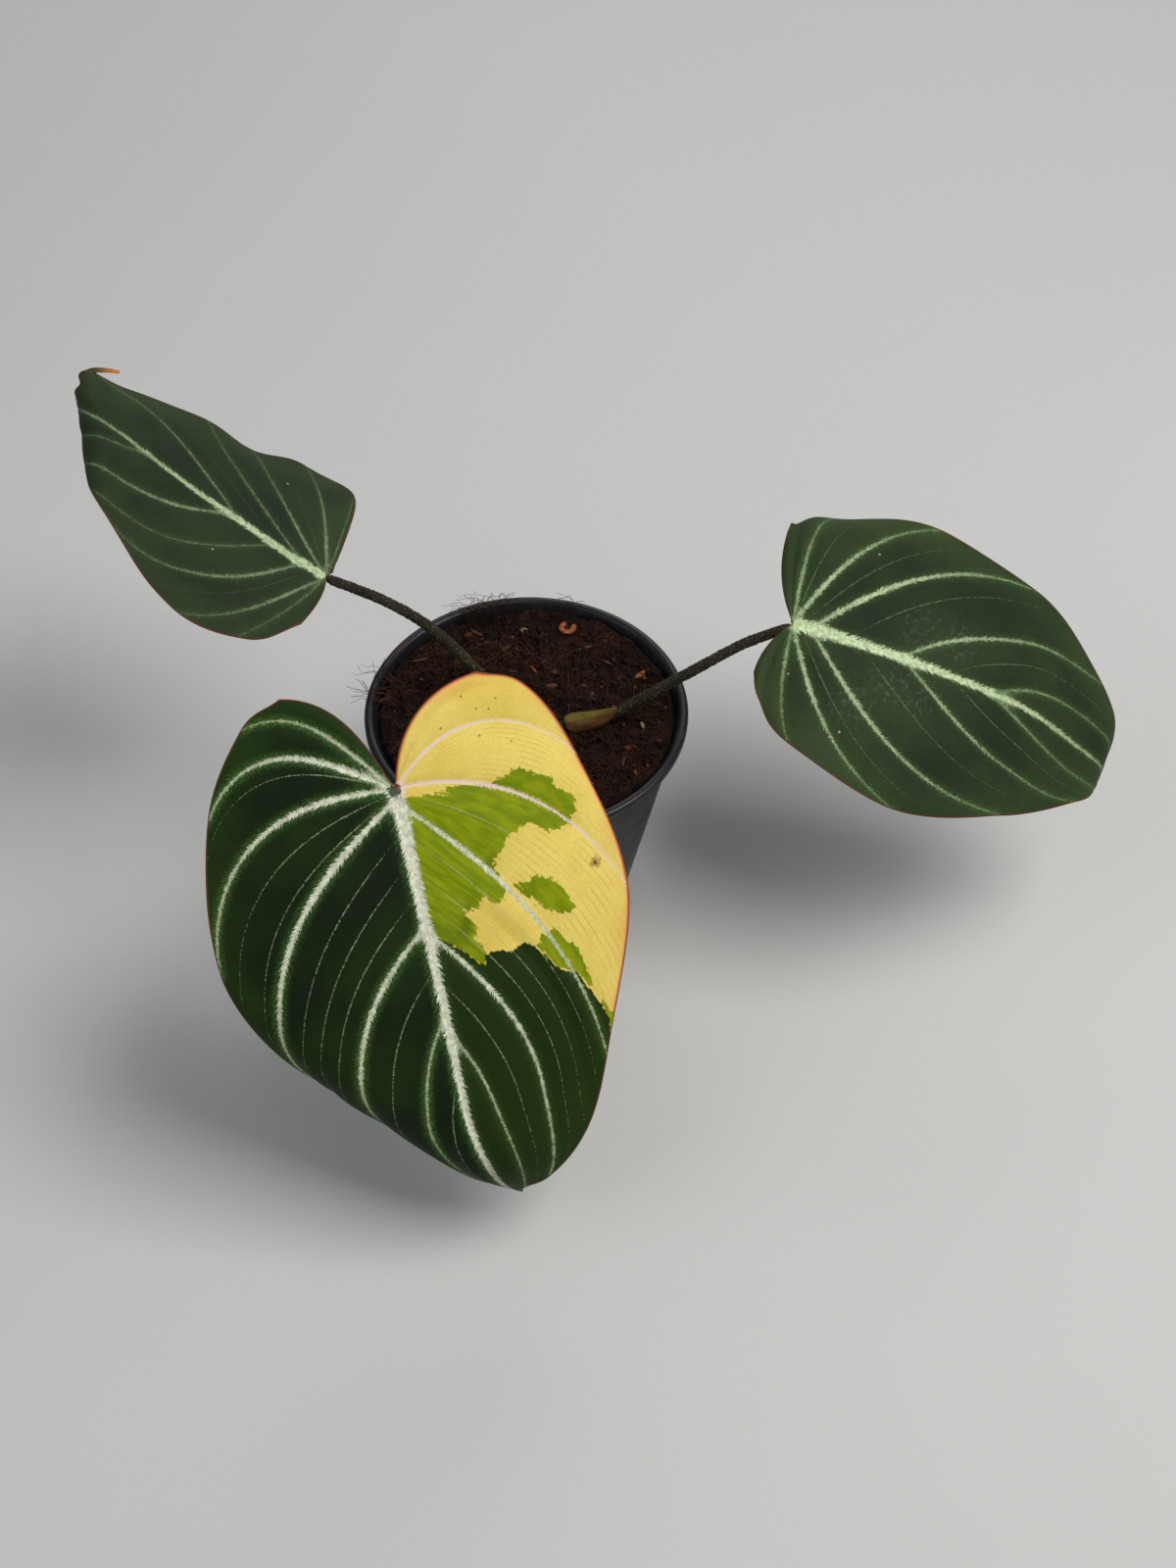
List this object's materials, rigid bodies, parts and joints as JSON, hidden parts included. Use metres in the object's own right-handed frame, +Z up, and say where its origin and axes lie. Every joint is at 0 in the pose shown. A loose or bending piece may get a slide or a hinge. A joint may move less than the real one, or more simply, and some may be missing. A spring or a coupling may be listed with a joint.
{
  "type": "potted philodendron gloriosum",
  "caption": "Potted creeping aroid with large heart-shaped velvety leaves, pale veins and a half-yellow variegated blade, in a plain black nursery pot filled with coir.",
  "frame": {"origin": "on the pot's axis, at the underside of its floor", "axes": "+Z up along the pot's axis; -Y towards the variegated leaf; +X towards the leaf on its left, seen from that leaf's side of the pot"},
  "size_m": [0.3822, 0.2573, 0.1854],
  "materials": {
    "pot_plastic": "thin satin black plastic",
    "coir": "loose brown coir with fibres and crumbs",
    "bark": "raw bark flake",
    "stem_skin": "rough speckled green-brown skin",
    "dry_sheath": "dry papery bract",
    "variegated_leaf": "velvety, half deep green and half yellow and lime, with cream veins",
    "green_leaf": "velvety deep green with pale feathered veins"
  },
  "bodies": {
    "root": {"pot": "pot_plastic", "substrate": "coir", "bark_chip": "bark", "stem": "stem_skin", "sheath": "dry_sheath", "leaf_front": "variegated_leaf", "leaf_right": "green_leaf", "leaf_left": "green_leaf"}
  },
  "joints": []
}
